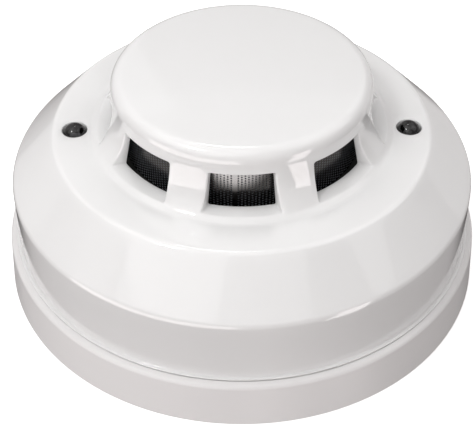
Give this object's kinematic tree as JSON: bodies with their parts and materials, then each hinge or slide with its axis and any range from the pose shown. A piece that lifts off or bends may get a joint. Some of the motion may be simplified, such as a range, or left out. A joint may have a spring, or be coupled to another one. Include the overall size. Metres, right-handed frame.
{
  "type": "heat detector",
  "caption": "Round ceiling detector: a flat-topped vented crown on a conical head that twists into a shallow mounting base.",
  "frame": {"origin": "centre of the base's back face", "axes": "+Z out of the ceiling towards the crown, -Y through the front window, +X through the right indicator lamp"},
  "size_m": [0.104, 0.104, 0.0494],
  "materials": {
    "base_plastic": "fine satin gloss",
    "cover_plastic": "high gloss",
    "inner_plastic": "satin",
    "plated_brass": "nickel plated, satin",
    "zinc_steel": "zinc plated",
    "tinplate": "bright tin",
    "screen_steel": "dark perforated sheet",
    "glass_epoxy": "solder mask",
    "chip_black": "moulded epoxy",
    "varistor_blue": "dipped epoxy",
    "capacitor_sleeve": "shrink sleeve",
    "chamber_black": "matt, light absorbing",
    "clear_epoxy": "clear",
    "dark_epoxy": "infrared filter",
    "thermistor_bead": "dipped epoxy",
    "smoked_epoxy": "smoked clear epoxy"
  },
  "bodies": {
    "base": {"mounting_base": "base_plastic", "terminal_plate_1": "plated_brass", "terminal_plate_2": "plated_brass", "terminal_plate_3": "plated_brass", "terminal_plate_4": "plated_brass"},
    "head": {"back_plate": "inner_plastic", "contact_blade_1": "plated_brass", "contact_blade_2": "plated_brass", "contact_blade_3": "plated_brass", "contact_blade_4": "plated_brass", "circuit_board": "glass_epoxy", "board_screws": "zinc_steel", "cover_screws": "zinc_steel", "microcontroller": "chip_black", "amplifier_chip": "chip_black", "shield_can": "tinplate", "bridge_rectifier": "chip_black", "varistor": "varistor_blue", "capacitors": "capacitor_sleeve", "transistors": "chip_black", "resistors": "chip_black", "chamber_base": "chamber_black", "chamber_cap": "chamber_black", "infrared_led": "clear_epoxy", "photodiode": "dark_epoxy", "thermistor_left": "thermistor_bead", "thermistor_right": "thermistor_bead", "insect_screen": "screen_steel", "led_spacer_left": "inner_plastic", "led_spacer_right": "inner_plastic", "indicator_led_left": "smoked_epoxy", "indicator_led_right": "smoked_epoxy", "outer_cover": "cover_plastic"},
    "clamp_1": {"clamp_washer_1": "zinc_steel"},
    "screw_1": {"terminal_screw_1": "zinc_steel"},
    "clamp_2": {"clamp_washer_2": "zinc_steel"},
    "screw_2": {"terminal_screw_2": "zinc_steel"},
    "clamp_3": {"clamp_washer_3": "zinc_steel"},
    "screw_3": {"terminal_screw_3": "zinc_steel"},
    "clamp_4": {"clamp_washer_4": "zinc_steel"},
    "screw_4": {"terminal_screw_4": "zinc_steel"}
  },
  "joints": [
    {"name": "head_twist", "type": "hinge", "parent": "base", "child": "head", "pos_m": [0, 0, 0.0105], "axis": [0, 0, 1], "range_deg": [0, 22]},
    {"name": "clamp_lift_1", "type": "slide", "parent": "base", "child": "clamp_1", "axis": [0, 0, 1], "range_m": [0, 0.0014]},
    {"name": "screw_turn_1", "type": "hinge", "parent": "clamp_1", "child": "screw_1", "pos_m": [0.02192, 0.02192, 0.0062], "axis": [0, 0, 1], "range_deg": [0, 720]},
    {"name": "clamp_lift_2", "type": "slide", "parent": "base", "child": "clamp_2", "axis": [0, 0, 1], "range_m": [0, 0.0014]},
    {"name": "screw_turn_2", "type": "hinge", "parent": "clamp_2", "child": "screw_2", "pos_m": [-0.02192, 0.02192, 0.0062], "axis": [0, 0, 1], "range_deg": [0, 720]},
    {"name": "clamp_lift_3", "type": "slide", "parent": "base", "child": "clamp_3", "axis": [0, 0, 1], "range_m": [0, 0.0014]},
    {"name": "screw_turn_3", "type": "hinge", "parent": "clamp_3", "child": "screw_3", "pos_m": [-0.02192, -0.02192, 0.0062], "axis": [0, 0, 1], "range_deg": [0, 720]},
    {"name": "clamp_lift_4", "type": "slide", "parent": "base", "child": "clamp_4", "axis": [0, 0, 1], "range_m": [0, 0.0014]},
    {"name": "screw_turn_4", "type": "hinge", "parent": "clamp_4", "child": "screw_4", "pos_m": [0.02192, -0.02192, 0.0062], "axis": [0, 0, 1], "range_deg": [0, 720]}
  ],
  "couplings": [
    {"joint": "screw_turn_1", "follows": "clamp_lift_1", "rad_per_m": 8976},
    {"joint": "screw_turn_2", "follows": "clamp_lift_2", "rad_per_m": 8976},
    {"joint": "screw_turn_3", "follows": "clamp_lift_3", "rad_per_m": 8976},
    {"joint": "screw_turn_4", "follows": "clamp_lift_4", "rad_per_m": 8976}
  ]
}
